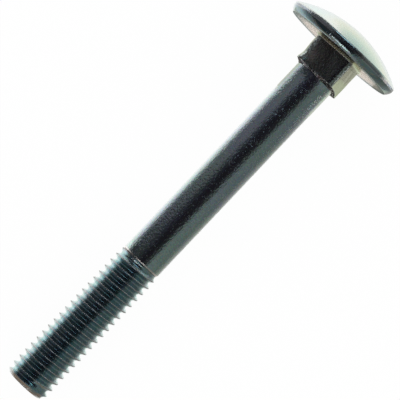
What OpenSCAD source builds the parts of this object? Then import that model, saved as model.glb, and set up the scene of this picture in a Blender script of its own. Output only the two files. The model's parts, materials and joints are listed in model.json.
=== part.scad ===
// Carriage bolt: a domed round head over a square neck, a plain shank and a rolled thread.
// It is one cold-forged piece of steel. It lies as it comes to rest on a level surface, on the
// edge of its head and on the first full turn of its thread, with the head towards +X.
// Millimetres, +Z up. The origin is under the middle of the bolt, on the surface it lies on.

/* [Head] */
// Diameter of the head
head_d = 16; // [13:0.1:20]
// Height of the head from its bearing face to the top of the dome
head_h = 3.5; // [2.8:0.1:5]
// Height at which the dome would meet the edge of the head
edge_h = 1.05; // [0.8:0.05:1.6]
// Rounding of the two corners of that edge
edge_r = 0.28; // [0.1:0.01:0.35]

/* [Square neck] */
// Width of the neck across its flats
neck_w = 5.85; // [5.6:0.05:7]
// Depth of the neck under the head
neck_h = 3.9; // [2.5:0.1:8]
// Rounding of the four long corners of the neck
neck_r = 0.45; // [0.2:0.05:0.8]
// Size of the fillet between the neck and the head
neck_fillet = 0.4; // [0.1:0.05:0.8]
// Length over which the end of the neck tapers down to the shank
neck_taper = 0.5; // [0.2:0.05:1]
// Turn of the neck about the bolt, away from lying square
neck_turn = 15; // [0:1:45]

/* [Shank] */
// Length of the bolt from the bearing face of its head to its point
bolt_l = 55.5; // [40:0.5:100]
// Diameter of the plain shank
shank_d = 5.4; // [5.2:0.05:5.5]
// Depth of the chamfer that ends the plain shank at the thread
shank_chamfer = 0.2; // [0.1:0.05:0.25]

/* [Thread] */
// Major diameter of the thread
thread_d = 5.9; // [5.8:0.01:6]
// Pitch of the thread
pitch = 1; // [0.75:0.05:1.25]
// Length of the threaded end, run-out included
thread_l = 20.6; // [12:0.1:30]
// Length of the run-out, in which the thread flattens towards the shank
run_out = 1.4; // [0.5:0.1:3]
// Diameter of the flat end of the point
point_d = 4.9; // [4:0.1:5.2]
// Angle of the chamfer of the point, from the axis
point_deg = 48; // [30:1:60]
// Turn of the thread about the bolt
thread_turn = 345; // [0:5:355]

/* [Hidden] */
$fn = 96;

// The dome is the top of a ball that passes through the head's edge
head_r = head_d / 2;
dome_rise = head_h - edge_h;
dome_r = (head_r * head_r + dome_rise * dome_rise) / (2 * dome_rise);
// Steps of each rounded corner of the edge, and the height where its upper corner is centred
corner_steps = 5;
corner_z = head_h - dome_r + sqrt(pow(dome_r - edge_r, 2) - pow(head_r - edge_r, 2));
corner_end = asin((corner_z - head_h + dome_r) / (dome_r - edge_r));
// Turn of the head that keeps the start of its rim away from the side it lies on
rim_turn = 2.25;

// Full height of a sixty-degree thread, less the flats at its crests and roots
flank_deg = 30;
crest_flat = pitch / 8;
root_flat = pitch / 6;
flank_w = (pitch - crest_flat - root_flat) / 2;
crest_r = thread_d / 2;
root_r = crest_r - flank_w / tan(flank_deg);
// Where the thread meets the chamfer of the shank, what is left of its crests and its roots
shank_r = shank_d / 2;
last_crest_r = shank_r + 0.06;
last_root_r = shank_r - shank_chamfer + 0.05;
cut_l = thread_l - shank_chamfer;
// Corners of one turn of the profile: place along the axis, and height from root to crest
profile = [
    [0, 1],
    [crest_flat, 1],
    [crest_flat + flank_w, 0],
    [crest_flat + flank_w + root_flat, 0]
];
profile_n = len(profile);
turn_steps = 32;
half_step = 180 / turn_steps;
// The raw thread starts at least two turns before the point and ends past the shank's chamfer
crest_phase = pitch * thread_turn / 360;
lead = 3 * pitch - crest_phase;
turns = ceil((cut_l + lead) / pitch) + 1;
rows = turns * profile_n;
trim_r = crest_r + 0.5;

// The bolt's own frame has its axis along Z, the bearing face at z = 0 and the point at -bolt_l.
// Lying down, its side at angle 0 is the lowest, and there a flat of the crest is down
low_r = crest_r * cos(half_step);
// First full crest from the point on that side
crest_from = (crest_r - point_d / 2) / tan(point_deg);
rest_l = ceil((crest_from - crest_phase) / pitch) * pitch + crest_phase;
// The tilt at which the head's edge and that crest are equally low
reach_r = head_r - edge_r - low_r;
reach_l = bolt_l - rest_l + edge_r;
tilt = acos(-edge_r / norm([reach_r, reach_l])) - atan2(reach_l, reach_r);
// Height of the bearing face's centre, and the middle of the bolt's length on the ground
lift = (head_r - edge_r) * cos(tilt) - edge_r * sin(tilt) + edge_r;
far_x = (head_h - dome_r) * cos(tilt) + dome_r;
near_x = -bolt_l * cos(tilt) - point_d / 2 * sin(tilt);
shift = -(far_x + near_x) / 2;

// Height of thread left at a distance from the point: 0 along the thread, 1 where it ends
function fade(a) = min(1, max(0, (a - cut_l + run_out) / run_out));

// Radius of the thread at a height h between root and crest, and a distance from the point
function thread_r(h, a) =
    let (
        low = root_r + (last_root_r - root_r) * fade(a),
        high = crest_r + (last_crest_r - crest_r) * fade(a)
    )
    low + (high - low) * h;

// Corner of the thread: row k runs along the helix, step j turns right-handed about the axis
function thread_point(k, j) =
    let (
        corner = profile[k % profile_n],
        angle = 360 * j / turn_steps + half_step,
        a = pitch * (floor(k / profile_n) + angle / 360) + corner[0] - lead,
        r = thread_r(corner[1], a)
    )
    [r * cos(angle), r * sin(angle), a];

function point_index(k, j) = j < turn_steps ? k * turn_steps + j : (k + profile_n) * turn_steps;

// Points of a round corner, from the angle "from" to the angle "to"
function round_corner(x, y, r, from, to) = [
    for (i = [0:corner_steps])
        let (angle = from + (to - from) * i / corner_steps)
        [x + r * cos(angle), y + r * sin(angle)]
];

module head() {
    lower = round_corner(head_r - edge_r, edge_r, edge_r, -90, 0);
    upper = round_corner(head_r - edge_r, corner_z, edge_r, 0, corner_end);
    // The last step of the upper corner runs on over the dome, which cuts it off
    last = upper[corner_steps];
    before = upper[corner_steps - 1];
    over = last + (last - before) * (head_h / (last[1] - before[1]));
    outline = concat(
        [[0, 0]],
        lower,
        [for (i = [0:corner_steps - 1]) upper[i]],
        [over, [0, over[1]]]
    );
    rotate(rim_turn) intersection() {
        rotate_extrude() polygon(outline);
        translate([0, 0, head_h - dome_r]) sphere(r = dome_r);
    }
}

// Square with round corners, its sides set out by a distance
module neck_section(out = 0) {
    side = neck_w / 2 + out;
    inner = side - neck_r;
    square([2 * side, 2 * inner], center = true);
    square([2 * inner, 2 * side], center = true);
    for (x = [-inner, inner])
        for (y = [-inner, inner])
            translate([x, y]) circle(r = neck_r, $fn = 32);
}

module neck() {
    corner_reach = neck_w;
    taper_r = neck_w / 2 - 0.05;
    taper_slope = (neck_w / sqrt(2) - taper_r) / neck_taper;
    rotate(-neck_turn) {
        intersection() {
            translate([0, 0, -neck_h]) linear_extrude(height = neck_h) neck_section();
            union() {
                translate([0, 0, neck_taper - neck_h]) cylinder(r = corner_reach, h = neck_h);
                translate([0, 0, -neck_h])
                    cylinder(r1 = taper_r, r2 = taper_r + taper_slope * neck_taper, h = neck_taper);
            }
        }
        // Fillet under the head
        hull() {
            translate([0, 0, -0.01]) linear_extrude(height = 0.01) neck_section(neck_fillet);
            translate([0, 0, -neck_fillet]) linear_extrude(height = 0.01) neck_section();
        }
    }
}

module shank() {
    plain_l = bolt_l - thread_l;
    translate([0, 0, -plain_l]) cylinder(r = shank_r, h = plain_l);
    // Chamfer that ends the plain shank at the thread
    translate([0, 0, -plain_l - shank_chamfer])
        cylinder(r1 = shank_r - shank_chamfer, r2 = shank_r, h = shank_chamfer);
    // Core of the shank, which runs on into the thread
    translate([0, 0, -plain_l - shank_chamfer - pitch])
        cylinder(r = root_r / 2, h = shank_chamfer + 2 * pitch);
}

module raw_thread() {
    points = [
        for (k = [0:rows])
            for (j = [0:turn_steps - 1])
                thread_point(k, j)
    ];
    start = len(points);
    end = start + 1;
    last = rows - profile_n;
    first_a = points[0][2];
    last_a = points[point_index(rows, 0)][2];
    walls = [
        for (k = [0:last - 1])
            for (j = [0:turn_steps - 1])
                each [
                    [point_index(k, j), point_index(k + 1, j), point_index(k + 1, j + 1)],
                    [point_index(k, j), point_index(k + 1, j + 1), point_index(k, j + 1)]
                ]
    ];
    start_cap = concat(
        [for (j = [0:turn_steps - 1]) [point_index(0, j), point_index(0, j + 1), start]],
        [for (k = [0:profile_n - 1]) [point_index(k + 1, 0), point_index(k, 0), start]]
    );
    end_cap = concat(
        [for (j = [0:turn_steps - 1]) [point_index(last, j + 1), point_index(last, j), end]],
        [for (k = [last:last + profile_n - 1]) [point_index(k, 0), point_index(k + 1, 0), end]]
    );
    polyhedron(
        points = concat(points, [[0, 0, first_a], [0, 0, last_a]]),
        faces = concat(walls, start_cap, end_cap)
    );
}

module thread() {
    point_r = point_d / 2;
    chamfer_l = (trim_r - point_r) / tan(point_deg);
    translate([0, 0, -bolt_l])
        intersection() {
            raw_thread();
            // Cut to length, with the chamfer of the point
            rotate_extrude()
                polygon([[0, 0], [point_r, 0], [trim_r, chamfer_l], [trim_r, cut_l], [0, cut_l]]);
        }
}

module carriage_bolt() {
    color("#77827f")
        translate([shift, 0, lift])
            rotate([0, 90 - tilt, 0]) {
                head();
                neck();
                shank();
                thread();
            }
}

carriage_bolt();
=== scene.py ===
"""Looks of the carriage bolt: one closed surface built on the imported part's frame, and its stage.

The bolt's own frame has its axis along z, the bearing face of the head at z = 0 and the point at
negative z. Angle 0 about the axis is the side the bolt lies on. Sizes are millimetres there and
metres in the row frame.
"""

from __future__ import annotations

import json
import logging
import math
from dataclasses import dataclass, field
from enum import Enum

import bpy
import numpy as np
from mathutils import Matrix, Vector

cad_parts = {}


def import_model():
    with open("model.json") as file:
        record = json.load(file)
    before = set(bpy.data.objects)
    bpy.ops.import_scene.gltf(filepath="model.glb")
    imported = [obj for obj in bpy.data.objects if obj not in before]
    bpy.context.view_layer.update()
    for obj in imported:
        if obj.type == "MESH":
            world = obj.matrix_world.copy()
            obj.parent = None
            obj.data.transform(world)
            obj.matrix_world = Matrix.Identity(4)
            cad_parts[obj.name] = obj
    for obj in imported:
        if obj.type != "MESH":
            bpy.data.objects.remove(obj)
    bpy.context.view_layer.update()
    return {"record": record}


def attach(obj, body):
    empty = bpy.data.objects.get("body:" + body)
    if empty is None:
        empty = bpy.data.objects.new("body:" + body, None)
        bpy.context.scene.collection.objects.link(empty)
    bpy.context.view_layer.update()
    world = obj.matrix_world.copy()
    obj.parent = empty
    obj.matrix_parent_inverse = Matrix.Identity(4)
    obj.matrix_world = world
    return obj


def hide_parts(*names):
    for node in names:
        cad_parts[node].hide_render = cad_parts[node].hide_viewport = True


LOG = logging.getLogger("carriage_bolt")
# Columns of points around the bolt
COLUMNS = 210
# A millimetre in the row frame
MM = 0.001
WHITE = (1.0, 1.0, 1.0)

Color = tuple[float, float, float]
# Size, turns, rate and start of each wave of an uneven surface
Waves = tuple[tuple[float, float, float, float], ...]
# Place, red, green and blue of each stop of a radiance
Stops = tuple[tuple[float, float, float, float], ...]
Tree = bpy.types.NodeTree
Socket = bpy.types.NodeSocket


class Region(Enum):
    """Regions of the bolt with a finish of their own; the value is the material slot's index."""

    DOME = 0
    BAND = 1
    UNDERSIDE = 2
    NECK = 3
    SHANK = 4
    THREAD = 5
    POINT = 6
    BEVEL = 7
    RAMP = 8


@dataclass(frozen=True)
class Pose:
    """Where the bolt's own frame lies in the row frame."""

    origin: Vector
    axis: Vector

    @classmethod
    def from_record(cls, record: dict) -> Pose:
        """Read the pose from the mounts on the bearing face and on the shank.

        Args:
            record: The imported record.

        Returns:
            The pose, its origin at the middle of the bearing face, in metres.
        """
        mounts = {m["name"]: m for m in record["mounts"]}
        axis = -Vector(mounts["shank"]["axis"]).normalized()
        middle = Vector(mounts["shank"]["pos_m"])
        reach = (Vector(mounts["bearing_face"]["pos_m"]) - middle).dot(axis)
        return cls(origin=middle + axis * reach, axis=axis)

    @property
    def matrix(self) -> Matrix:
        """Rotation between the two frames.

        Returns:
            Matrix whose rows are the bolt's own axes: lowest side, left side, head.
        """
        side = Vector((0.0, 1.0, 0.0))
        low = side.cross(self.axis).normalized()
        return Matrix((low, self.axis.cross(low), self.axis))

    def to_row(self, points: np.ndarray) -> np.ndarray:
        """Turn points of the bolt's own frame, in mm, into the row frame, in metres."""
        return points * MM @ np.array(self.matrix) + np.array(self.origin)

    def to_own(self, point: Vector) -> Vector:
        """Turn a point of the row frame, in metres, into the bolt's own frame, in mm."""
        return self.matrix @ (point - self.origin) / MM


@dataclass
class Rings:
    """Rings of points around the axis, from the head to the point.

    Attributes:
        radius: Radius of each point, rows by columns.
        height: Place of each point along the axis, rows by columns.
        wear: How far the second colour shows there, 0 to 1: rubbed steel on the crests, painted
            highlight lines on corners and the chamfer, and a darker strip on the underside's rim.
        region: The finish of the faces below each ring.
    """

    radius: np.ndarray
    height: np.ndarray
    wear: np.ndarray
    region: Region

    @classmethod
    def turned(cls, profile: np.ndarray, region: Region, wear: float = 0.0) -> Rings:
        """Rings of a turned profile, with one wear value for all.

        Args:
            profile: Radius and height of each ring, rows by two.
            region: The finish below each ring.
            wear: The value of the wear mask for them all.

        Returns:
            The rings.
        """
        ones = np.ones(COLUMNS)
        radius = profile[:, :1] * ones
        return cls(radius, profile[:, 1:2] * ones, np.full(radius.shape, wear), region)


def columns() -> np.ndarray:
    """Angles of the columns about the axis, from 0 to one step short of a full turn."""
    return np.arange(COLUMNS) * (2 * math.pi / COLUMNS)


def away(degrees: float) -> np.ndarray:
    """How far each column is from an angle, in radians."""
    return np.abs(np.angle(np.exp(1j * (columns() - math.radians(degrees)))))


def bell(degrees: float, spread: float) -> np.ndarray:
    """Bell about an angle, one value for each column: exp(-(distance / spread)^2)."""
    return np.exp(-((away(degrees) / spread) ** 2))


def window(degrees: float, spread: float, reach: float) -> np.ndarray:
    """Window about an angle: reach - distance / spread for each column, kept within 0 to 1."""
    return np.clip(reach - away(degrees) / spread, 0.0, 1.0)


def arc(x: float, y: float, r: float, start: float, end: float, steps: int) -> np.ndarray:
    """Points on an arc: x + r cos(angle), y + r sin(angle), with the angle running evenly."""
    angle = np.linspace(start, end, steps)
    return np.stack([x + r * np.cos(angle), y + r * np.sin(angle)], axis=1)


def ripple(angle: np.ndarray, along: np.ndarray | float, waves: Waves) -> np.ndarray:
    """Sum of waves: each adds size * sin(turns * angle + rate * along + start).

    Args:
        angle: Angle about the axis.
        along: Place along the axis, or another measure that the waves run with.
        waves: Size, turns, rate and start of each wave.

    Returns:
        The sum at each point.
    """
    total = np.zeros(np.broadcast(angle, along).shape)
    for size, turns, rate, start in waves:
        total += size * np.sin(turns * angle + rate * along + start)
    return total


@dataclass
class Head:
    """Domed head with a low edge band between two rounded corners."""

    diameter: float = 16.0
    height: float = 3.5
    edge_height: float = 1.2
    edge_radius: float = 0.28
    # The lower corner: its height and reach, the power that makes it flatter than an arc, the
    # angle by which it stops short of both its ends, and the painted highlight line on its last
    # ring
    lower_height: float = 0.72
    lower_reach: float = 0.5
    lower_power: float = 1.6
    lower_ease: float = 0.1
    lower_sheen: float = 0.3
    # Slopes by which the head leans to one side and upward
    lean_side: float = 0.015
    lean_up: float = 0.022
    rim_waves: Waves = ((-0.012, 3, 0, 0.4), (-0.008, 7, 0, 2.0))
    # Angle between the top of the dome and its first ring, and the rings of each stretch
    top_gap: float = 0.004
    dome_rings: int = 42
    upper_rings: int = 8
    band_rings: int = 5
    lower_rings: int = 12

    def dome_radius(self) -> float:
        """Radius of the ball whose top is the dome."""
        half, rise = self.diameter / 2, self.height - self.edge_height
        return (half * half + rise * rise) / (2 * rise)

    def rings(self) -> list[Rings]:
        """Rings of the dome, its upper corner, the edge band and the lower corner.

        The dome and the upper corner are arcs that meet without a crease. The lower corner is
        reach * cos^power(angle) out and height * sin^power(angle) down.

        Returns:
            Rings from just beside the top of the dome to the start of the underside.
        """
        ball, r = self.dome_radius(), self.edge_radius
        x = self.diameter / 2 - r
        centre = self.height - ball
        y = centre + math.sqrt((ball - r) ** 2 - x * x)
        end = math.asin((y - centre) / (ball - r))
        dome = arc(0.0, centre, ball, math.pi / 2 - self.top_gap, end, self.dome_rings)
        upper = arc(x, y, r, end, 0.0, self.upper_rings + 1)[1:]
        low = self.lower_height
        band_z = np.linspace(y, low, self.band_rings + 2)[1:-1]
        band = np.stack([np.full(band_z.shape, x + r), band_z], axis=1)
        ease = self.lower_ease
        lower = arc(0.0, 0.0, 1.0, -ease, ease - math.pi / 2, self.lower_rings)
        lower = np.abs(lower) ** self.lower_power * [self.lower_reach, -low]
        lower += [self.diameter / 2 - self.lower_reach, low]
        # Painted highlight lines: the upper corner and the lower corner's first ring get full wear,
        # its last ring lower_sheen
        result = [
            Rings.turned(dome, Region.DOME),
            Rings.turned(upper, Region.BAND, 1.0),
            Rings.turned(band, Region.BAND),
            Rings.turned(lower[:1], Region.BAND, 1.0),
            Rings.turned(lower[1:-1], Region.BEVEL),
            Rings.turned(lower[-1:], Region.BEVEL, self.lower_sheen),
        ]
        # The forged rim is a little uneven
        for rings in result[1:]:
            rings.radius += ripple(columns(), 0.0, self.rim_waves)
        return result


@dataclass
class Neck:
    """Square neck with round corners, a fillet at the head and a rough tapered end.

    A spread is an angle about the axis, in radians.
    """

    width: float = 5.85
    depth: float = 3.9
    turn_deg: float = 15.0
    fillet: float = 0.4
    taper: float = 0.34
    # Rounding of the corners. One is blunt, and one is softened by a share of that. Both are
    # window(angle, blunt_spread, blunt_reach)
    corner: float = 0.5
    blunt_corner: float = 1.0
    blunt_deg: float = 120.0
    blunt_spread: float = 0.45
    blunt_reach: float = 2.0
    soft_deg: float = 210.0
    soft_share: float = 0.5
    # One corner keeps more of its length and has less taper
    full_deg: float = 300.0
    full_spread: float = 0.35
    full_length: float = 0.43
    full_taper: float = 0.16
    # Hollow along the blunt corner
    dip: float = 0.22
    dip_spread: float = 0.3
    # Painted highlight strips along the blunt corner and the soft one
    strip_deg: float = 127.0
    strip_spread: float = 0.09
    soft_strip_spread: float = 0.13
    soft_strip_sheen: float = 0.9
    # Painted highlight along the crease where the taper starts: its length on the sides, how far it
    # runs down the taper, and the share that is left there
    crease: float = 0.12
    end_crease: float = 0.25
    end_wear_and_sheen: float = 0.1
    # Width over which the darker colour along the underside's rim fades out
    dark_strip: float = 2.2
    under_waves: Waves = ((0.01, 4, 4, 0.3), (0.008, 9, 8, 1.0))
    side_waves: Waves = ((0.006, 8, 0.9, 0.5), (0.004, 12, 2.1, 2.2))
    end_waves: Waves = ((0.02, 17, 3, 0), (0.015, 41, 5, 1), (0.01, 67, 9, 2))
    end_rate: float = 5.0
    # Powers by which the taper's rings crowd at its start and its slope grows
    end_crowding: float = 1.4
    end_power: float = 1.25
    # Small step between the taper and the shank
    step_height: float = 0.02
    step_length: float = 0.03
    # Share of the underside between its edge and its first ring, and the rings of each stretch
    under_gap: float = 0.015
    under_rings: int = 25
    fillet_rings: int = 8
    side_rings: int = 18
    end_rings: int = 14

    def outline(self, out: float) -> np.ndarray:
        """Radius of the rounded square about the axis.

        The flat side is half / cos(angle). Past it, the corner's circle is met where
        radius = i (c + s) + sqrt((i (c + s))^2 - 2 i^2 + r^2), i being the corner's centre.

        Args:
            out: Distance by which the sides are set out.

        Returns:
            One radius for each column.
        """
        angle = columns() + math.radians(self.turn_deg)
        c, s = np.abs(np.cos(angle)), np.abs(np.sin(angle))
        c, s = np.maximum(c, s), np.minimum(c, s)
        half = self.width / 2 + out
        blunt = window(self.blunt_deg, self.blunt_spread, self.blunt_reach)
        soft = self.soft_share * window(self.soft_deg, self.blunt_spread, self.blunt_reach)
        corner = self.corner + (self.blunt_corner - self.corner) * (blunt + soft)
        inner = half - corner
        reach = inner * (c + s)
        root = np.sqrt(np.maximum(reach**2 - 2 * inner**2 + corner**2, 0.0))
        return np.where(half * s <= inner * c, half / c, reach + root)

    def rings(self, rim: float, shank_radius: float) -> list[Rings]:
        """Rings of the underside, the fillet, the sides and the tapered end of the neck.

        Args:
            rim: Radius at which the underside starts, inside the head's lower corner.
            shank_radius: Radius of the shank below the neck.

        Returns:
            Rings from the underside's outer edge to the shank.
        """
        kept = bell(self.full_deg, self.full_spread)
        start = -self.depth - self.full_length * kept
        taper = self.taper - self.full_taper * kept
        return [*self.underside(rim), self.sides(start), *self.end(start, taper, shank_radius)]

    def underside(self, rim: float) -> list[Rings]:
        """Rings of the head's underside and of the fillet that joins the neck to it.

        The underside runs evenly from the rim to the foot of the fillet, with waves that die out
        at both. The fillet is foot + (side - foot) * sin(angle) out, and its size *
        (1 - cos(angle)) down.

        Args:
            rim: Radius at which the underside starts.

        Returns:
            Rings of the underside and rings of the fillet.
        """
        foot, side = self.outline(self.fillet), self.outline(0.0)
        share = np.append(self.under_gap, np.linspace(0.0, 1.0, self.under_rings)[1:])[:, None]
        under_r = rim + (foot - rim) * share
        under_z = ripple(columns(), share, self.under_waves) * np.sin(math.pi * share)
        # A darker colour along the underside's rim, fading out inward over dark_strip
        under_rim_strip = np.clip(1.0 - (rim - under_r) / self.dark_strip, 0.0, 1.0)
        angle = np.linspace(0.0, math.pi / 2, self.fillet_rings + 1)[1:, None]
        fillet_r = foot + (side - foot) * np.sin(angle)
        fillet_z = -self.fillet * (1 - np.cos(angle)) * np.ones(COLUMNS)
        return [
            Rings(under_r, under_z, under_rim_strip, Region.UNDERSIDE),
            Rings(fillet_r, fillet_z, np.zeros(fillet_r.shape), Region.NECK),
        ]

    def sides(self, start: np.ndarray) -> Rings:
        """Rings of the four sides, spread evenly from the fillet to the taper.

        Args:
            start: Height at which the taper starts, for each column.

        Returns:
            The rings, with painted highlight strips along two corners and along the crease at the
            taper.
        """
        down = np.linspace(0.0, 1.0, self.side_rings + 1)[1:, None]
        height = -self.fillet + (start + self.fillet) * down
        radius = self.outline(0.0) + self.unevenness(height)
        # Painted highlight strips along the soft and blunt corners, and a painted highlight along
        # the crease
        soft_strip = self.soft_strip_sheen * bell(self.soft_deg, self.soft_strip_spread)
        wear = np.maximum(soft_strip, np.clip(1.0 - (height - start) / self.crease, 0.0, 1.0))
        wear = np.maximum(wear, bell(self.strip_deg, self.strip_spread))
        return Rings(radius, height, wear, Region.NECK)

    def end(self, start: np.ndarray, taper: np.ndarray, shank_radius: float) -> list[Rings]:
        """Rings of the rough tapered end, and the small step from it to the shank.

        The radius is side + (shank - side) * share^power, with waves on the side that grow with
        the share of the taper.

        Args:
            start: Height at which the taper starts, for each column.
            taper: Length of the taper, for each column.
            shank_radius: Radius of the shank below the neck.

        Returns:
            Rings of the taper and the ring of the step.
        """
        down = np.linspace(0.0, 1.0, self.end_rings + 1)[1:, None] ** self.end_crowding
        down = down * np.ones(COLUMNS)
        height = start - taper * down
        rough = ripple(columns(), height * self.end_rate, self.end_waves)
        side = self.outline(0.0) + self.unevenness(height) + rough * down
        radius = side + (shank_radius - side) * down**self.end_power
        radius = np.maximum(radius, shank_radius + self.step_height)
        # Painted highlight along the crease, fading down the taper to a low share that the speckle
        # breaks into specks
        wear = np.clip(1.0 - down / self.end_crease, self.end_wear_and_sheen, 1.0)
        step_r = np.full((1, COLUMNS), shank_radius)
        step_z = height[-1:] - self.step_length
        return [
            Rings(radius, height, wear, Region.RAMP),
            Rings(step_r, step_z, np.zeros(step_r.shape), Region.RAMP),
        ]

    def unevenness(self, height: np.ndarray) -> np.ndarray:
        """Forged unevenness of the sides: a hollow along one corner, and slow waves.

        The hollow is dip * exp(-(angle from the corner / spread)^2) * sin(pi * share of depth)^2,
        with the share squared so that the hollow lies nearer the end.

        Args:
            height: Height of each point, rows by columns.

        Returns:
            What it adds to the radius of each point.
        """
        share = np.clip(-height / self.depth, 0.0, 1.0) ** 2
        hollow = -self.dip * bell(self.blunt_deg, self.dip_spread) * np.sin(math.pi * share) ** 2
        return hollow + ripple(columns(), height, self.side_waves)


@dataclass
class Shank:
    """Plain shank, ended at the thread by a small chamfer."""

    diameter: float = 5.46
    # Height at which the plain part would end, were the chamfer as long as it is deep
    end: float = -34.9
    chamfer: float = 0.2
    plain_rings: int = 24
    # Slope in degrees and length along the axis of each step of the chamfer
    steps: tuple[tuple[float, float], ...] = (
        (8, 0.03),
        (20, 0.04),
        (28, 0.08),
        (29.5, 0.08),
        (31, 0.06),
        (50, 0.03),
        (65, 0.02),
    )

    def rings(self, start: float) -> list[Rings]:
        """Rings of the shank and its chamfer.

        The chamfer's radius drops by length * tan(slope) at each step, the steps being scaled so
        that the whole drop is the chamfer's depth.

        Args:
            start: Height of the shank's upper end.

        Returns:
            Rings of the shank, and rings of its chamfer, with a painted highlight.
        """
        r = self.diameter / 2
        slope, length = np.array(self.steps).T
        drop = np.cumsum(length * np.tan(np.radians(slope)))
        scale = self.chamfer / drop[-1]
        run = np.cumsum(length) * scale
        top = self.end - self.chamfer + run[-1]
        z = np.linspace(start, top, self.plain_rings + 1)[1:]
        shank = Rings.turned(np.stack([np.full(z.shape, r), z], axis=1), Region.SHANK)
        chamfer = np.stack([r - drop * scale, top - run], axis=1)
        # The chamfer's full wear is a painted highlight ring
        return [shank, Rings.turned(chamfer, Region.SHANK, 1.0)]


@dataclass
class Thread:
    """Rolled right-hand thread with a run-out and a chamfered point.

    Distances along it are measured from the point.
    """

    diameter: float = 5.9
    pitch: float = 1.0
    length: float = 20.4
    run_out: float = 1.4
    point_diameter: float = 4.9
    point_deg: float = 48.0
    crest_phase: float = 345 / 360
    # Radii of crest and root where the run-out ends
    end_crest: float = 2.76
    end_root: float = 2.55
    bolt_length: float = 55.5
    # Side on which the first turn is rolled nearly flat: window(angle, spread, reach), its
    # length and the length over which it fades, its share, and the height it is rolled to
    flat_deg: float = 225.0
    flat_spread: float = 0.5
    flat_reach: float = 1.6
    flat_length: float = 2.0
    flat_fade: float = 0.9
    flat_share: float = 0.85
    flat_height: float = 0.7
    # Distance from the point at which the crests' rubbed steel and painted highlight lines begin
    wear_and_sheen_from: float = 0.8
    # Place across one pitch, height from root to crest, and wear, of each row of points
    profile: tuple[tuple[float, float, float], ...] = (
        (0.0, 0.90, 0.3),
        (0.03, 0.97, 0.9),
        (0.0625, 1.0, 1.0),
        (0.095, 0.97, 0.9),
        (0.125, 0.90, 0.3),
        (0.29, 0.534, 0.0),
        (0.42, 0.25, 0.0),
        (0.485, 0.17, 0.0),
        (0.53, 0.145, 0.0),
        (0.5625, 0.14, 0.0),
        (0.595, 0.145, 0.0),
        (0.64, 0.17, 0.0),
        (0.705, 0.25, 0.0),
        (0.83, 0.52, 0.0),
    )

    def root_radius(self) -> float:
        """Radius of the root of a sixty-degree profile with its crest and root cut flat."""
        flank = (1 - 1 / 8 - 1 / 6) * self.pitch / 2
        return self.diameter / 2 - flank / math.tan(math.radians(30))

    def chamfer_length(self) -> float:
        """Length of the point's chamfer along the axis."""
        return (self.diameter - self.point_diameter) / 2 / math.tan(math.radians(self.point_deg))

    def radius(self, height: np.ndarray, along: np.ndarray) -> np.ndarray:
        """Radius of the thread.

        It runs from root to crest with the height, both closing up over the run-out, and stays
        inside the cone of the point, point radius + along * tan(point angle).

        Args:
            height: Height between root, 0, and crest, 1.
            along: Distance from the point.

        Returns:
            The radius of each point.
        """
        fade = np.clip((along - self.length + self.run_out) / self.run_out, 0.0, 1.0)
        low = self.root_radius() + (self.end_root - self.root_radius()) * fade
        high = self.diameter / 2 + (self.end_crest - self.diameter / 2) * fade
        cone = self.point_diameter / 2 + along * math.tan(math.radians(self.point_deg))
        return np.minimum(low + (high - low) * height, cone)

    def at(self, along: float) -> tuple[np.ndarray, np.ndarray]:
        """Radius and wear of each column at one distance from the point.

        Args:
            along: Distance from the point.

        Returns:
            The radii and the wear, from the profile read at (along - phase - angle) mod pitch.
        """
        place = (along / self.pitch - self.crest_phase - columns() / (2 * math.pi)) % 1.0
        knots = np.array(self.profile + ((1.0, *self.profile[0][1:]),))
        height = np.interp(place, knots[:, 0], knots[:, 1])
        wear = np.interp(place, knots[:, 0], knots[:, 2])
        return self.radius(height, np.full(COLUMNS, along)), wear

    def grid(self) -> tuple[np.ndarray, np.ndarray, np.ndarray]:
        """Rows of points along the helix.

        Row k, column j lies at pitch * (k div n + place of row k mod n + angle / full turn).
        Beside the point the first turn is rolled nearly flat on one side.

        Returns:
            Distance from the point, radius and wear, rows by columns. The rows run past both
            ends of the thread.
        """
        rows = np.array(self.profile)
        turns = math.ceil(self.length / self.pitch) + 3
        start = (np.arange(turns) - 2)[:, None] + rows[None, :, 0] + self.crest_phase
        along = self.pitch * (start.reshape(-1, 1) + columns()[None, :] / (2 * math.pi))
        height = np.tile(rows[:, 1], turns)[:, None] * np.ones(COLUMNS)
        flat = np.clip((self.flat_length - along) / self.flat_fade, 0.0, self.flat_share)
        flat = flat * window(self.flat_deg, self.flat_spread, self.flat_reach)
        height += (self.flat_height - height) * flat
        # The crests carry rubbed steel and painted highlight lines
        wear = np.tile(rows[:, 2], turns)[:, None] * np.clip(along - self.wear_and_sheen_from, 0.0, 1.0)
        return along, self.radius(height, along), wear


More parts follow.
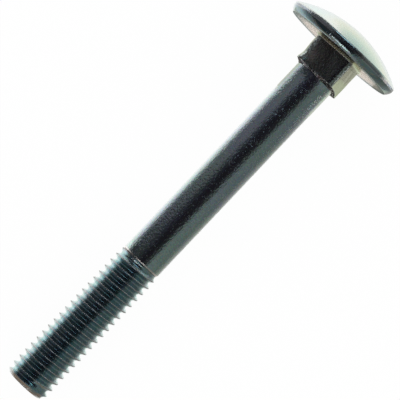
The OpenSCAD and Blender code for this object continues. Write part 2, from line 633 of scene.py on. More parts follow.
@dataclass
class Surface:
    """A closed surface put together from vertices and triangles."""

    points: list[np.ndarray] = field(default_factory=list)
    wear: list[np.ndarray] = field(default_factory=list)
    triangles: list[np.ndarray] = field(default_factory=list)
    regions: list[np.ndarray] = field(default_factory=list)
    count: int = 0

    def add_points(
        self, radius: np.ndarray, height: np.ndarray, turn: np.ndarray, wear: np.ndarray
    ) -> np.ndarray:
        """Add points at radius * cos(turn), radius * sin(turn), height.

        Args:
            radius: Distance of each point from the axis.
            height: Place of each point along the axis.
            turn: Angle of each point about the axis.
            wear: Value of the wear mask at each point.

        Returns:
            The points' indices, in the shape that the four have together.
        """
        radius, height, turn, wear = np.broadcast_arrays(radius, height, turn, wear)
        xyz = np.stack([radius * np.cos(turn), radius * np.sin(turn), height], axis=-1)
        self.points.append(xyz.reshape(-1, 3))
        self.wear.append(wear.reshape(-1))
        indices = self.count + np.arange(radius.size).reshape(radius.shape)
        self.count += radius.size
        return indices

    def add_middle(self, height: float) -> np.ndarray:
        """Add one point on the axis with no wear, and return its index once for each column."""
        none = np.array(0.0)
        return np.full(COLUMNS, int(self.add_points(none, np.array(height), none, none)))

    def add_quads(self, corners: tuple[np.ndarray, ...], region: Region) -> None:
        """Add quads as two triangles each, and leave out triangles that have closed up.

        Args:
            corners: Indices of the first, second, third and fourth corner of each quad.
            region: The region whose finish they have.
        """
        a, b, c, d = corners
        halves = [np.stack([a, b, c], axis=-1), np.stack([a, c, d], axis=-1)]
        tri = np.concatenate([half.reshape(-1, 3) for half in halves])
        open_up = (tri[:, 0] != tri[:, 1]) & (tri[:, 1] != tri[:, 2]) & (tri[:, 2] != tri[:, 0])
        tri = tri[open_up]
        self.triangles.append(tri)
        self.regions.append(np.full(len(tri), region.value))

    def join_rows(self, upper: np.ndarray, lower: np.ndarray, region: Region) -> None:
        """Join each row of upper to the same row of lower, nearer the point, all around."""
        following = np.roll(lower, -1, axis=-1), np.roll(upper, -1, axis=-1)
        self.add_quads((upper, lower, *following), region)

    def to_object(self, name: str, pose: Pose) -> bpy.types.Object:
        """Make the mesh object, in the row frame, with its wear attribute.

        Args:
            name: Name of the object.
            pose: Where the bolt lies.

        Returns:
            The object, linked to the scene's collection.
        """
        points = pose.to_row(np.concatenate(self.points))
        triangles = np.concatenate(self.triangles)
        mesh = bpy.data.meshes.new(name)
        mesh.vertices.add(len(points))
        mesh.vertices.foreach_set("co", points.ravel().astype(np.float32))
        mesh.loops.add(triangles.size)
        mesh.loops.foreach_set("vertex_index", triangles.ravel().astype(np.int32))
        mesh.polygons.add(len(triangles))
        mesh.polygons.foreach_set("loop_start", np.arange(len(triangles), dtype=np.int32) * 3)
        mesh.polygons.foreach_set("material_index", np.concatenate(self.regions).astype(np.int32))
        mesh.polygons.foreach_set("use_smooth", np.ones(len(triangles), dtype=bool))
        wear = mesh.attributes.new("wear", "FLOAT", "POINT")
        wear.data.foreach_set("value", np.concatenate(self.wear).astype(np.float32))
        mesh.update(calc_edges=True)
        mesh.validate()
        obj = bpy.data.objects.new(name, mesh)
        bpy.context.scene.collection.objects.link(obj)
        return obj


@dataclass
class CarriageBolt:
    """The whole bolt: head, square neck, shank and thread as one closed surface."""

    pose: Pose
    head: Head = field(default_factory=Head)
    neck: Neck = field(default_factory=Neck)
    shank: Shank = field(default_factory=Shank)
    thread: Thread = field(default_factory=Thread)
    # Distance from the depth of the neck to the upper end of the shank
    shank_gap: float = 0.6
    # Rings of the flat face of the point
    face_rings: int = 6
    # A point of the thread that is nearer to an end than this belongs to that end's ring
    closeness: float = 1e-4

    def build(self) -> bpy.types.Object:
        """Build the bolt's surface from the head down to the point.

        Returns:
            The finished object, with all its material slots filled.
        """
        surface, turn = Surface(), columns()
        head, neck = self.head, self.neck
        rings = head.rings()
        rings += neck.rings(head.diameter / 2 - head.lower_reach, self.shank.diameter / 2)
        rings += self.shank.rings(-neck.depth - self.shank_gap)
        # The head leans a little to one side and upward, and sits nearer the point by what it
        # leans sideways halfway out; all that dies out over the neck's fillet
        lean = head.lean_side * np.sin(turn) - head.lean_up * np.cos(turn)
        back = head.lean_side * head.diameter / 4
        above = surface.add_middle(head.height)
        for part in rings:
            share = np.clip(part.height / neck.fillet + 1, 0.0, 1.0)
            height = part.height - share * (lean * part.radius + back)
            rows = surface.add_points(part.radius, height, turn, part.wear)
            surface.join_rows(np.concatenate([above[None, :], rows[:-1]]), rows, part.region)
            above = rows[-1]
        self.add_thread(surface, above)
        obj = surface.to_object("carriage_bolt_looks", self.pose)
        for material in finishes(self.pose):
            obj.data.materials.append(material)
        return obj

    def add_thread(self, surface: Surface, above: np.ndarray) -> None:
        """Add the thread and the face of the point below the shank's chamfer.

        Points of the helical rows that lie past an end are moved onto that end's ring, which
        closes up the triangles between them.

        Args:
            surface: The surface to add to.
            above: Indices of the last ring of the shank's chamfer.
        """
        thread, turn = self.thread, columns()
        ends = []
        for along in (0.0, thread.length):
            radius, wear = thread.at(along)
            height = np.array(along - thread.bolt_length)
            ends.append(surface.add_points(radius, height, turn, wear))
        point, top = ends
        surface.join_rows(above, top, Region.THREAD)
        along, radius, wear = thread.grid()
        inside = (along > self.closeness) & (along < thread.length - self.closeness)
        index = np.where(along < thread.length / 2, point[None, :], top[None, :])
        angle = np.broadcast_to(turn, along.shape)
        height = along - thread.bolt_length
        placed = (radius, height, angle, wear)
        index[inside] = surface.add_points(*(values[inside] for values in placed))
        # The last column meets the first one a turn further on
        n = len(thread.profile)
        following = np.concatenate([index[:-n, 1:], index[n:, :1]], axis=1)
        corners = (index[1:-n], index[: -n - 1], following[:-1], following[1:])
        cone = along[: -n - 1] < thread.chamfer_length()
        for part, region in ((cone, Region.POINT), (~cone, Region.THREAD)):
            surface.add_quads(tuple(corner[part] for corner in corners), region)
        # Flat face of the point, ring by ring to its middle
        radius = np.linalg.norm(np.concatenate(surface.points)[point][:, :2], axis=1)
        share = np.linspace(1.0, 0.0, self.face_rings + 2)[1:-1, None]
        height = np.array(-thread.bolt_length)
        face = surface.add_points(radius * share, height, turn, np.zeros(share.shape))
        middle = surface.add_middle(-thread.bolt_length)
        rows = np.concatenate([point[None, :], face, middle[None, :]])
        surface.join_rows(rows[:-1], rows[1:], Region.POINT)


def node(tree: Tree, kind: str, **values: object) -> bpy.types.Node:
    """Add a shader node and set its plain properties.

    Args:
        tree: The node tree.
        kind: The node's type name.
        **values: Properties of the node.

    Returns:
        The node.
    """
    made = tree.nodes.new(kind)
    for name, value in values.items():
        setattr(made, name, value)
    return made


def feed(tree: Tree, target: Socket, source: object) -> None:
    """Link a socket to the target, or set the target's own value.

    Args:
        tree: The node tree.
        target: Input socket.
        source: Output socket, or a value.
    """
    if isinstance(source, bpy.types.NodeSocket):
        tree.links.new(source, target)
    else:
        target.default_value = source


def math_node(tree: Tree, operation: str, *inputs: object, clamp: bool = False) -> Socket:
    """Add a Math node.

    Args:
        tree: The node tree.
        operation: The node's operation.
        *inputs: Socket or value for each of its inputs.
        clamp: Whether its result is kept within 0 to 1.

    Returns:
        Its result.
    """
    made = node(tree, "ShaderNodeMath", operation=operation, use_clamp=clamp)
    for socket, source in zip(made.inputs, inputs):
        feed(tree, socket, source)
    return made.outputs[0]


def mix_color(
    tree: Tree, share: object, first: object, second: object, blend: str = "MIX"
) -> Socket:
    """Add a Mix node for colours.

    Args:
        tree: The node tree.
        share: Share of the second colour.
        first: First colour.
        second: Second colour.
        blend: How the two are blended.

    Returns:
        The mixed colour.
    """
    made = node(tree, "ShaderNodeMix", data_type="RGBA", blend_type=blend)
    # Its sockets 6 and 7 are the two colours, and its output 2 is a colour too
    for number, source in ((0, share), (6, first), (7, second)):
        feed(tree, made.inputs[number], source)
    return made.outputs[2]


def remap(
    tree: Tree,
    value: object,
    low: float,
    high: float,
    to_low: float = 0.0,
    to_high: float = 1.0,
) -> Socket:
    """Add a clamped, smooth Map Range node.

    Args:
        tree: The node tree.
        value: What is remapped.
        low: Value that becomes to_low.
        high: Value that becomes to_high.
        to_low: First end of the result.
        to_high: Second end of the result.

    Returns:
        The remapped value.
    """
    made = node(tree, "ShaderNodeMapRange", interpolation_type="SMOOTHSTEP", clamp=True)
    for socket, source in zip(made.inputs, (value, low, high, to_low, to_high)):
        feed(tree, socket, source)
    return made.outputs[0]


def noise(
    tree: Tree, vector: object, scale: object, detail: float, rough: float = 0.5
) -> bpy.types.Node:
    """Add a Noise node, whose value and colour lie about one half.

    Args:
        tree: The node tree.
        vector: Position that it reads.
        scale: Its scale.
        detail: Octaves of its detail.
        rough: Strength of that detail.

    Returns:
        The node.
    """
    made = node(tree, "ShaderNodeTexNoise")
    feed(tree, made.inputs["Vector"], vector)
    feed(tree, made.inputs["Scale"], scale)
    feed(tree, made.inputs["Detail"], detail)
    feed(tree, made.inputs["Roughness"], rough)
    return made


def stretched(tree: Tree, vector: object, scale: tuple[float, float, float]) -> Socket:
    """Scale a vector axis by axis, which stretches a texture that reads it.

    Args:
        tree: The node tree.
        vector: The vector.
        scale: Factor for each axis.

    Returns:
        The scaled vector.
    """
    made = node(tree, "ShaderNodeVectorMath", operation="MULTIPLY")
    feed(tree, made.inputs[0], vector)
    feed(tree, made.inputs[1], scale)
    return made.outputs[0]


class Effects:
    """Node groups that the finishes share. Their noise reads positions in mm."""

    FILM = "Bolt film"
    GRAIN = "Bolt grain"
    # Patches of the film: their stretch, and the values of noise between which they change
    PATCH_STRETCH = (1, 1, 0.4)
    PATCH_ENDS = (0.36, 0.64)
    CLOUD_SCALE = 4.5
    FINE_SCALE = 3.8
    DRAG_STRETCH = (6, 6, 0.35)
    DRAG_SCALE = 1.4
    SPECK_SCALE = 4.6
    SPECK_ENDS = (0.60, 0.66)

    @staticmethod
    def new_group(
        name: str, inputs: dict[str, str], outputs: dict[str, str]
    ) -> tuple[Tree, bpy.types.Node, bpy.types.Node]:
        """Start a node group.

        Args:
            name: Its name.
            inputs: Socket type by input name.
            outputs: Socket type by output name.

        Returns:
            The tree, its group input node and its group output node.
        """
        tree = bpy.data.node_groups.new(name, "ShaderNodeTree")
        for way, sockets in (("INPUT", inputs), ("OUTPUT", outputs)):
            for socket, kind in sockets.items():
                tree.interface.new_socket(socket, in_out=way, socket_type=kind)
        return tree, tree.nodes.new("NodeGroupInput"), tree.nodes.new("NodeGroupOutput")

    @staticmethod
    def place(tree: Tree, name: str, values: dict[str, object]) -> bpy.types.Node:
        """Place a group in a material.

        Args:
            tree: The material's tree.
            name: The group's name.
            values: Socket or value for each of its inputs.

        Returns:
            The group's node.
        """
        made = node(tree, "ShaderNodeGroup", node_tree=bpy.data.node_groups[name])
        for socket, value in values.items():
            feed(tree, made.inputs[socket], value)
        return made

    @classmethod
    def film(cls) -> Tree:
        """Colour of the passivation film.

        It lies between two tints in patches that are long along the axis. On it lies a fine
        cloud, each channel being 1 + contrast * (noise - 0.5).

        Returns:
            Group with Position, Tint, Second Tint, Patch Scale and Contrast in, Color out.
        """
        tree, entry, out = cls.new_group(
            cls.FILM,
            {
                "Position": "NodeSocketVector",
                "Tint": "NodeSocketColor",
                "Second Tint": "NodeSocketColor",
                "Patch Scale": "NodeSocketFloat",
                "Contrast": "NodeSocketFloat",
            },
            {"Color": "NodeSocketColor"},
        )
        given = entry.outputs
        long = stretched(tree, given["Position"], cls.PATCH_STRETCH)
        patch = noise(tree, long, given["Patch Scale"], detail=3.0).outputs["Fac"]
        share = remap(tree, patch, *cls.PATCH_ENDS)
        tint = mix_color(tree, share, given["Tint"], given["Second Tint"])
        cloud = noise(tree, given["Position"], cls.CLOUD_SCALE, detail=3.0, rough=0.7)
        split = node(tree, "ShaderNodeSeparateColor")
        feed(tree, split.inputs[0], cloud.outputs["Color"])
        shade = node(tree, "ShaderNodeCombineColor")
        for channel, socket in zip(split.outputs, shade.inputs):
            value = math_node(tree, "SUBTRACT", channel, 0.5)
            feed(tree, socket, math_node(tree, "MULTIPLY_ADD", value, given["Contrast"], 1.0))
        color = mix_color(tree, 1.0, tint, shade.outputs[0], "MULTIPLY")
        feed(tree, out.inputs["Color"], color)
        return tree

    @classmethod
    def grain(cls) -> Tree:
        """Fine grain of the plated steel: speckle, drag lines along the axis and rough specks.

        The height is speckle * fine noise + drag * stretched noise.

        Returns:
            Group with Position, Speckle, Drag and Specks in, Height, Speckle and Specks out.
        """
        tree, entry, out = cls.new_group(
            cls.GRAIN,
            {
                "Position": "NodeSocketVector",
                "Speckle": "NodeSocketFloat",
                "Drag": "NodeSocketFloat",
                "Specks": "NodeSocketFloat",
            },
            dict.fromkeys(("Height", "Speckle", "Specks"), "NodeSocketFloat"),
        )
        given = entry.outputs
        position = given["Position"]
        fine = noise(tree, position, cls.FINE_SCALE, detail=1.5, rough=0.6).outputs["Fac"]
        long = stretched(tree, position, cls.DRAG_STRETCH)
        drag = noise(tree, long, cls.DRAG_SCALE, detail=3.0, rough=0.6).outputs["Fac"]
        specks = noise(tree, position, cls.SPECK_SCALE, detail=1.0).outputs["Fac"]
        specks = remap(tree, specks, *cls.SPECK_ENDS)
        height = math_node(tree, "MULTIPLY", fine, given["Speckle"])
        height = math_node(tree, "MULTIPLY_ADD", drag, given["Drag"], height)
        feed(tree, out.inputs["Height"], height)
        feed(tree, out.inputs["Speckle"], fine)
        feed(tree, out.inputs["Specks"], math_node(tree, "MULTIPLY", specks, given["Specks"]))
        return tree


@dataclass(frozen=True)
class Plating:
    """Finish of one region: bright zinc under a thin blue-green film.

    Attributes:
        region: The region that has it.
        tint: Colour of the film.
        second: Second colour of the film, in patches.
        edge: Painted sheen where the surface turns away from the eye: lighter than the film on most
            regions, a painted shade on the underside and the ramp.
        worn_and_sheen: Colour where the wear mask and the specks show: rubbed steel, painted
            highlights on corners, chamfer and crease, and a darker rim on the underside.
        roughness: Roughness of the film.
        worn_and_sheen_roughness: Roughness where that colour shows.
        patch_scale: Scale of the film's patches.
        contrast: Contrast of the cloud on the film.
        speckle: Share of the speckle in the grain's height.
        drag: Share of the drag lines in the grain's height.
        specks: Strength of the rough specks.
        bump: Height of the grain, in mm.
        spotty: Value of the speckle at which the worn_and_sheen colour starts to show.
        edge_from: How far the surface turns away before the edge colour starts.
        graze: Tint of what the film mirrors at the flattest angles.
        worn_and_sheen_graze: Tint of what the surface mirrors at the flattest angles where that
            colour shows.
    """

    region: Region
    tint: Color
    second: Color
    edge: Color = (0.82, 0.88, 0.87)
    worn_and_sheen: Color = (0.62, 0.58, 0.56)
    roughness: float = 0.2
    worn_and_sheen_roughness: float = 0.25
    patch_scale: float = 0.25
    contrast: float = 0.35
    speckle: float = 1.0
    drag: float = 0.2
    specks: float = 0.0
    bump: float = 0.03
    spotty: float = 0.25
    edge_from: float = 0.66
    graze: Color = WHITE
    worn_and_sheen_graze: Color = WHITE
    # Values of the speckle over which the worn_and_sheen colour fades in, where the edge colour is
    # full, and what the speckle and the specks add to the roughness
    spot_fade: float = 0.2
    edge_to: float = 0.95
    speckle_roughness: float = 0.2
    speck_roughness: float = 0.4

    @staticmethod
    def position(tree: Tree, pose: Pose) -> Socket:
        """Position in the bolt's own frame, in mm, worked out from object coordinates.

        Args:
            tree: The material's tree.
            pose: Where the bolt lies.

        Returns:
            The position, which runs with the bolt's axis.
        """
        coords = node(tree, "ShaderNodeTexCoord")
        place = node(tree, "ShaderNodeMapping", vector_type="POINT")
        feed(tree, place.inputs["Vector"], coords.outputs["Object"])
        place.inputs["Scale"].default_value = (1 / MM,) * 3
        place.inputs["Rotation"].default_value = pose.matrix.to_euler("XYZ")
        place.inputs["Location"].default_value = pose.to_own(Vector((0, 0, 0)))
        return place.outputs[0]

    def material(self, pose: Pose) -> bpy.types.Material:
        """Make the material.

        Args:
            pose: Where the bolt lies, so that its textures run with its axis.

        Returns:
            A metallic material that reads object coordinates and the wear attribute.
        """
        made = bpy.data.materials.new("zinc_" + self.region.name.lower())
        made.use_nodes = True
        tree = made.node_tree
        tree.nodes.clear()
        position = self.position(tree, pose)
        wear = node(tree, "ShaderNodeAttribute", attribute_name="wear").outputs["Fac"]
        film = Effects.place(
            tree,
            Effects.FILM,
            {
                "Position": position,
                "Tint": (*self.tint, 1),
                "Second Tint": (*self.second, 1),
                "Patch Scale": self.patch_scale,
                "Contrast": self.contrast,
            },
        ).outputs["Color"]
        grain = Effects.place(
            tree,
            Effects.GRAIN,
            {
                "Position": position,
                "Speckle": self.speckle,
                "Drag": self.drag,
                "Specks": self.specks,
            },
        ).outputs
        patchy = remap(tree, grain["Speckle"], self.spotty, self.spotty + self.spot_fade)
        share = math_node(tree, "MULTIPLY", wear, patchy)
        share = math_node(tree, "MAXIMUM", share, grain["Specks"])
        shader = node(tree, "ShaderNodeBsdfPrincipled")
        # Painted sheen: the base colour turns to the edge colour where the surface faces away from
        # the eye
        facing = node(tree, "ShaderNodeLayerWeight").outputs["Facing"]
        grazing = remap(tree, facing, self.edge_from, self.edge_to)
        color = mix_color(tree, grazing, film, (*self.edge, 1))
        # The worn_and_sheen colour: rubbed steel, specks and painted highlights where the mask
        # shows
        color = mix_color(tree, share, color, (*self.worn_and_sheen, 1))
        feed(tree, shader.inputs["Base Color"], color)
        shader.inputs["Metallic"].default_value = 1.0
        graze = mix_color(tree, share, (*self.graze, 1), (*self.worn_and_sheen_graze, 1))
        feed(tree, shader.inputs["Specular Tint"], graze)
        rough = remap(tree, share, 0.0, 1.0, self.roughness, self.worn_and_sheen_roughness)
        uneven = math_node(tree, "SUBTRACT", grain["Speckle"], 0.5)
        rough = math_node(tree, "MULTIPLY_ADD", uneven, self.speckle_roughness, rough)
        added = (grain["Specks"], self.speck_roughness, rough)
        rough = math_node(tree, "MULTIPLY_ADD", *added, clamp=True)
        feed(tree, shader.inputs["Roughness"], rough)
        bump = node(tree, "ShaderNodeBump")
        bump.inputs["Strength"].default_value = 1.0
        bump.inputs["Distance"].default_value = self.bump * MM
        feed(tree, bump.inputs["Height"], grain["Height"])
        feed(tree, shader.inputs["Normal"], bump.outputs[0])
        output = node(tree, "ShaderNodeOutputMaterial")
        feed(tree, output.inputs["Surface"], shader.outputs[0])
        return made


def finishes(pose: Pose) -> list[bpy.types.Material]:
    """Make the materials of all regions.

    Args:
        pose: Where the bolt lies.

    Returns:
        One material for each region, in the order of their slots.
    """
    Effects.film()
    Effects.grain()
    # The edge colours are painted sheen, darker as painted shade on the underside and the ramp; the
    # worn_and_sheen colours are rubbed steel, specks, painted highlights and a darker underside rim
    platings = {
        plating.region: plating
        for plating in (
            Plating(Region.DOME, (0.80, 0.92, 0.88), (0.88, 0.90, 0.83), roughness=0.3, bump=0.006),
            Plating(Region.BAND, (0.44, 0.50, 0.56), (0.50, 0.46, 0.44), worn_and_sheen=(0.80, 0.84, 0.80)),
            Plating(
                Region.UNDERSIDE,
                (0.86, 0.73, 0.62),
                (0.72, 0.71, 0.60),
                edge=(0.56, 0.38, 0.24),
                worn_and_sheen=(0.36, 0.44, 0.43),
                worn_and_sheen_graze=(0.20, 0.27, 0.28),
                roughness=0.16,
                speckle=2.0,
                specks=0.5,
                contrast=2.0,
            ),
            Plating(
                Region.NECK,
                (0.37, 0.38, 0.35),
                (0.36, 0.33, 0.29),
                edge=(0.68, 0.74, 0.48),
                edge_from=0.45,
                worn_and_sheen=(0.82, 0.95, 0.92),
                spotty=0.4,
                roughness=0.13,
                contrast=1.2,
                speckle=0.8,
                drag=0.3,
                specks=0.12,
            ),
            Plating(
                Region.SHANK,
                (0.60, 0.75, 0.70),
                (0.63, 0.71, 0.79),
                edge=(0.95, 0.98, 0.98),
                worn_and_sheen=(0.95, 0.90, 0.86),
                patch_scale=0.35,
                roughness=0.09,
                edge_from=0.5,
                contrast=1.3,
                speckle=1.2,
                drag=0.5,
                specks=0.5,
            ),
            Plating(
                Region.THREAD,
                (0.39, 0.58, 0.61),
                (0.46, 0.56, 0.60),
                edge=(0.72, 0.92, 0.86),
                edge_from=0.5,
                worn_and_sheen=(0.70, 0.66, 0.66),
                worn_and_sheen_graze=(0.22, 0.19, 0.18),
                worn_and_sheen_roughness=0.16,
                patch_scale=0.8,
                contrast=1.4,
                specks=0.3,
            ),
            Plating(Region.POINT, (0.60, 0.62, 0.60), (0.56, 0.52, 0.47), roughness=0.3),
            Plating(
                Region.BEVEL,
                (0.36, 0.50, 0.52),
                (0.38, 0.46, 0.46),
                worn_and_sheen=(0.85, 0.84, 0.80),
                roughness=0.08,
                speckle=0.6,
                contrast=1.2,
            ),
            Plating(
                Region.RAMP,
                (0.17, 0.16, 0.15),
                (0.13, 0.13, 0.14),
                edge=(0.10, 0.10, 0.09),
                graze=(0.25, 0.24, 0.25),
                worn_and_sheen=(0.95, 0.96, 0.94),
                worn_and_sheen_roughness=0.15,
                spotty=0.5,
                speckle=1.6,
                specks=0.9,
                contrast=1.6,
            ),
        )
    }
    return [platings[region].material(pose) for region in Region]


def even(red: float, green: float, blue: float) -> Stops:
    """Stops of a cloth that has one colour all over."""
    return ((0, red, green, blue), (1, red, green, blue))


@dataclass(frozen=True)
class Cloth:
    """Glowing cloth that mirrored rays alone see.

    Attributes:
        name: Its name.
        rows: Place along the floor, height and place among the stops of each of its rows.
        sides: Place of its two sides across the floor.
        stops: Place, red, green and blue of each stop of its radiance.
        strength: Factor on that radiance.
    """

    name: str
    rows: tuple[tuple[float, float, float], ...]
    sides: tuple[float, float]
    stops: Stops
    strength: float = 1.0


@dataclass
class Stage:
    """Pale floor, white surroundings, and the dark canopy and cloths that the metal mirrors.

    Sizes and places are metres, and angles are degrees about the bolt.
    """

    pose: Pose
    floor_size: float = 4.0
    floor_color: Color = (0.93, 0.93, 0.93)
    floor_glow: float = 0.96
    # Level of the surroundings as light
    light: float = 1.0
    # Radius of the shank that mirrors the mats
    shank_radius: float = 0.0027
    canopy_radius: float = 0.15
    # How far the canopy runs to both sides, and the least height of its axis
    far: float = 0.3
    least_height: float = 2.8 * MM
    # Angles where the canopy ends and where a mat on the floor begins
    canopy_end: int = 93
    mat_start: int = 91
    # Height of the mats, and their ends along the floor where they don't run on
    mat_height: float = 0.3 * MM
    mat_ends: tuple[float, float] = (-0.03, 0.029)
    # Radiance of the canopy by its angle, from the +Y side over the top.
    # Past the upright it is the radiance of a mat
    canopy: Stops = (
        (-134, 1.0, 1.0, 1.0),
        (-115, 0.66, 0.67, 0.68),
        (-106, 0.32, 0.33, 0.34),
        (-98, 0.15, 0.16, 0.165),
        (-88, 0.11, 0.115, 0.125),
        (-41, 0.118, 0.120, 0.130),
        (-35, 0.060, 0.065, 0.070),
        (-29, 0.032, 0.034, 0.040),
        (-15, 0.0175, 0.0155, 0.021),
        (0, 0.011, 0.0092, 0.0125),
        (16, 0.016, 0.0132, 0.0165),
        (26, 0.024, 0.024, 0.027),
        (34, 0.060, 0.065, 0.065),
        (40, 0.120, 0.140, 0.136),
        (95, 0.112, 0.130, 0.126),
        (113, 0.19, 0.19, 0.18),
        (126, 0.28, 0.275, 0.26),
        (158, 0.48, 0.47, 0.44),
    )
    # Where the thread begins. From there to the point, two spans of the canopy's angles have a
    # factor on their radiance, and the left mat has a strength of its own
    thread_x: float = -0.0083
    thread_spans: tuple[tuple[float, float, float], ...] = ((-90, -29, 0.3), (29, 100, 1.25))
    thread_mat: float = 1.4
    cloths: tuple[Cloth, ...] = (
        Cloth(
            "far_end",
            ((-0.033, 0.0004, 0), (-0.3, 0.0004, 0), (-0.3, 0.0008, 1), (-0.3, 0.165, 1)),
            (-0.15, 0.15),
            ((0, 0.26, 0.20, 0.16), (1, 0.32, 0.31, 0.30)),
        ),
        Cloth(
            "front_mat",
            ((0.036, 0.0004, 0), (0.062, 0.0004, 1), (0.3, 0.0004, 1)),
            (-0.15, 0.005),
            ((0, 1.0, 0.95, 0.82), (1, 0.27, 0.44, 0.45)),
        ),
        Cloth(
            "head_mat",
            ((0.019, 0.0006, 0), (0.0251, 0.0006, 1)),
            (-0.013, 0.013),
            ((0, 0.62, 0.62, 0.55), (1, 0.55, 0.58, 0.50)),
        ),
        Cloth(
            "front_card",
            ((0.3, 0.045, 0), (0.3, 0.165, 1)),
            (-0.15, 0.15),
            even(0.25, 0.27, 0.28),
        ),
        Cloth(
            "far_panel",
            ((-0.18, 0.078, 0), (-0.18, 0.092, 1)),
            (-0.04, 0.09),
            even(*WHITE),
            2.4,
        ),
        Cloth(
            "near_panel",
            ((0.048, 0.1, 0), (0.11, 0.1, 1)),
            (-0.015, 0.055),
            even(0.48, 0.80, 0.96),
        ),
        Cloth(
            "near_side_card",
            ((0.1, 0.0008, 0), (0.1, 0.08, 1)),
            (0.02, 0.15),
            even(0.025, 0.035, 0.04),
        ),
        Cloth(
            "far_side_card",
            ((-0.12, 0.0008, 0), (-0.12, 0.07, 1)),
            (0.07, 0.15),
            even(0.025, 0.035, 0.04),
        ),
    )

    def build(self) -> None:
        """Lay the floor, hang the canopy and the cloths, and light the world."""
        self.floor()
        self.dark_canopy()
        for cloth in self.cloths:
            grid = [[(x, y, z) for y in cloth.sides] for x, z, _ in cloth.rows]
            place = [[at] * len(cloth.sides) for _, _, at in cloth.rows]
            self.hang(cloth.name, np.array(grid), np.array(place), cloth.stops, cloth.strength)
        self.world()

    def floor(self) -> None:
        """Lay the matt floor at height 0. To the camera it is part glow, part lit paper."""
        half = self.floor_size / 2
        corners = [(-half, -half, 0), (half, -half, 0), (half, half, 0), (-half, half, 0)]
        made = bpy.data.materials.new("floor_paper")
        made.use_nodes = True
        tree = made.node_tree
        shader = tree.nodes["Principled BSDF"]
        shader.inputs["Base Color"].default_value = (*self.floor_color, 1)
        shader.inputs["Roughness"].default_value = 1.0
        shader.inputs["Specular IOR Level"].default_value = 0.0
        seen = math_node(tree, "MULTIPLY", self.seen_directly(tree)[0], self.floor_glow)
        glow = node(tree, "ShaderNodeEmission")
        blend = node(tree, "ShaderNodeMixShader")
        for socket, source in zip(blend.inputs, (seen, shader.outputs[0], glow.outputs[0])):
            feed(tree, socket, source)
        feed(tree, tree.nodes["Material Output"].inputs["Surface"], blend.outputs[0])
        self.staged("floor", np.array(corners), np.array([(0, 1, 2, 3)]), made)

    @staticmethod
    def seen_directly(tree: Tree) -> tuple[Socket, bpy.types.Node]:
        """Tell rays from the camera and mirrored rays from the rest.

        Args:
            tree: The tree of a material or of the world.

        Returns:
            1 for those rays and 0 for others, and the Light Path node.
        """
        path = node(tree, "ShaderNodeLightPath")
        camera, glossy = path.outputs["Is Camera Ray"], path.outputs["Is Glossy Ray"]
        return math_node(tree, "MAXIMUM", camera, glossy), path

    @staticmethod
    def staged(
        name: str, points: np.ndarray, faces: np.ndarray, made: bpy.types.Material
    ) -> bpy.types.Object:
        """Make a mesh object that belongs to the stage.

        Args:
            name: Name of the object.
            points: Its points, in metres.
            faces: Its quads.
            made: Its material.

        Returns:
            The object, linked to the scene's collection.
        """
        mesh = bpy.data.meshes.new(name)
        mesh.from_pydata(points.tolist(), [], faces.tolist())
        mesh.materials.append(made)
        obj = bpy.data.objects.new(name, mesh)
        bpy.context.scene.collection.objects.link(obj)
        return obj

    def section(self, degrees: np.ndarray, x: float) -> np.ndarray:
        """Points of the canopy's section, or of the mat's where the angle is past the upright.

        The arc is centred on the bolt's axis. On the mat lies what the shank mirrors at that
        angle b: r sin(b / 2) + (height + r cos(b / 2)) / tan(b - 90) away from the axis.

        Args:
            degrees: Angles about the bolt, all of the arc or all of one mat.
            x: Place along the floor.

        Returns:
            One point for each angle, in metres.
        """
        slope = self.pose.axis.z / self.pose.axis.x
        height = self.pose.origin.z + (x - self.pose.origin.x) * slope
        height = min(max(height, self.least_height), self.pose.origin.z)
        angle, side = np.radians(degrees), -np.sign(degrees)
        if degrees.min() < 0 < degrees.max():
            y = -np.sin(angle) * self.canopy_radius
            z = np.maximum(height + np.cos(angle) * self.canopy_radius, 0.0)
        else:
            half = np.abs(angle) / 2
            rise = height + self.shank_radius * np.cos(half)
            reach = self.shank_radius * np.sin(half) + rise / np.tan(np.abs(angle) - math.pi / 2)
            y = side * np.minimum(reach, self.canopy_radius)
            z = np.full(angle.shape, self.mat_height)
        return np.stack([np.full(angle.shape, x), y, z], axis=1)

    def beside_thread(self, at: float, color: Color) -> tuple[float, ...]:
        """Stop of the canopy beside the thread: the colour times the factor of its span."""
        factor = math.prod(factor for low, high, factor in self.thread_spans if low < at < high)
        return (at, *(channel * factor for channel in color))

    def dark_canopy(self) -> None:
        """Hang a half-round canopy along the bolt, and lay a mat on the floor on both sides.

        The canopy and the left mat are two pieces each, because they are another radiance beside
        the thread than beside the head.
        """
        stops, far, thread_x = self.canopy, self.far, self.thread_x
        beside = tuple(self.beside_thread(at, color) for at, *color in stops)
        low, high = self.mat_ends
        end, mat = self.canopy_end, self.mat_start
        left, right = (stops[0][0], -mat), (mat, stops[-1][0])
        for name, (start, stop), stations, levels, strength in (
            ("canopy", (-end, end), (thread_x, far), stops, 1.0),
            ("thread_canopy", (-end, end), (-far, thread_x), beside, 1.0),
            ("left_mat", left, (thread_x, high), stops, 1.0),
            ("thread_left_mat", left, (-far, low, thread_x), stops, self.thread_mat),
            ("right_mat", right, (-far, low, high), stops, 1.0),
        ):
            degrees = np.arange(start, stop + 1, dtype=float)
            grid = np.stack([self.section(degrees, x) for x in stations])
            self.hang(name, grid, np.tile(degrees, (len(stations), 1)), levels, strength)

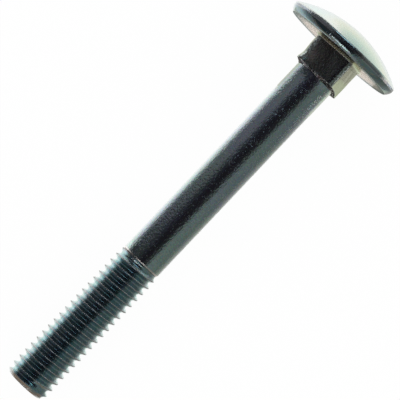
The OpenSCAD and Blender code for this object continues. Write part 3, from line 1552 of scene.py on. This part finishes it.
    def hang(
        self, name: str, grid: np.ndarray, place: np.ndarray, stops: Stops, strength: float
    ) -> None:
        """Hang a glowing cloth that mirrored rays alone see.

        Args:
            name: Its name.
            grid: Its points, rows by columns, in metres.
            place: For each point, its place among the stops.
            stops: Place, red, green and blue of each stop of its radiance.
            strength: Factor on that radiance.
        """
        rows, count = place.shape
        corner = np.arange(count * (rows - 1)).reshape(-1, count)[:, :-1].reshape(-1)
        sheet = np.stack([corner, corner + 1, corner + 1 + count, corner + count], axis=1)
        first, last = stops[0][0], stops[-1][0]
        made = bpy.data.materials.new(name + "_cloth")
        made.use_nodes = True
        tree = made.node_tree
        tree.nodes.clear()
        where = node(tree, "ShaderNodeAttribute", attribute_name="place").outputs["Fac"]
        ramp = node(tree, "ShaderNodeValToRGB")
        feed(tree, ramp.inputs[0], where)
        elements = ramp.color_ramp.elements
        while len(elements) < len(stops):
            elements.new(0.5)
        for element, (at, *color) in zip(elements, stops):
            element.position = (at - first) / (last - first)
            element.color = (*color, 1)
        glow = node(tree, "ShaderNodeEmission")
        feed(tree, glow.inputs["Color"], ramp.outputs[0])
        glow.inputs["Strength"].default_value = strength
        output = node(tree, "ShaderNodeOutputMaterial")
        feed(tree, output.inputs["Surface"], glow.outputs[0])
        shape = self.staged(name, grid.reshape(-1, 3), sheet, made)
        share = shape.data.attributes.new("place", "FLOAT", "POINT")
        value = (place.reshape(-1) - first) / (last - first)
        share.data.foreach_set("value", value.astype(np.float32))
        shape.visible_camera = False
        shape.visible_diffuse = False
        shape.visible_shadow = False
        shape.visible_transmission = False

    def world(self) -> None:
        """White surroundings: full to the camera and in mirrored and transmitted rays.

        As light they have a level of their own.
        """
        world = bpy.data.worlds.new("white_room")
        bpy.context.scene.world = world
        world.use_nodes = True
        tree = world.node_tree
        back = tree.nodes["Background"]
        back.inputs["Color"].default_value = (*WHITE, 1)
        seen, path = self.seen_directly(tree)
        seen = math_node(tree, "MAXIMUM", seen, path.outputs["Is Transmission Ray"])
        feed(tree, back.inputs["Strength"], remap(tree, seen, 0.0, 1.0, self.light, 1.0))


@dataclass
class Viewpoint:
    """Camera that looks down on the bolt, its head at the upper right.

    Its distance from the axis is in metres. Places along the axis and beside it are mm.
    """

    pose: Pose
    distance: float = 0.262
    # Place along the axis that the camera stands over, the place it aims at, and how far beside
    foot: float = -26.5
    aim: float = -24.6
    aim_side: float = -0.06
    # Slope of the bolt in the picture, and width of the picture at the bolt, in mm
    slope_deg: float = 46.58
    width: float = 48.54
    sensor: float = 36.0

    def build(self) -> None:
        """Place the camera and make it the scene's."""
        axis = self.pose.axis
        side = Vector((0, 1, 0))
        up = axis.cross(side)
        place = self.pose.origin + axis * self.foot * MM + up * self.distance
        target = self.pose.origin + axis * self.aim * MM + side * self.aim_side * MM
        back = (place - target).normalized()
        lean = math.radians(self.slope_deg)
        right = axis * math.cos(lean) - side * math.sin(lean)
        right = (right - back * right.dot(back)).normalized()
        top = back.cross(right)
        data = bpy.data.cameras.new("camera")
        data.sensor_width = self.sensor
        data.lens = self.sensor * self.distance / (self.width * MM)
        obj = bpy.data.objects.new("camera", data)
        turn = Matrix((right, top, back)).transposed().to_4x4()
        obj.matrix_world = Matrix.Translation(place) @ turn
        bpy.context.scene.collection.objects.link(obj)
        bpy.context.scene.camera = obj


def main() -> None:
    """Build the bolt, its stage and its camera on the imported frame."""
    logging.basicConfig(level=logging.INFO, format="%(message)s")
    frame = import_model()
    pose = Pose.from_record(frame["record"])
    bolt = CarriageBolt(pose).build()
    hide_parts("carriage_bolt")
    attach(bolt, "root")
    LOG.info("bolt: %d triangles", len(bolt.data.polygons))
    Stage(pose).build()
    Viewpoint(pose).build()
    scene = bpy.context.scene
    scene.view_settings.view_transform = "Standard"


if __name__ == "__main__":
    main()
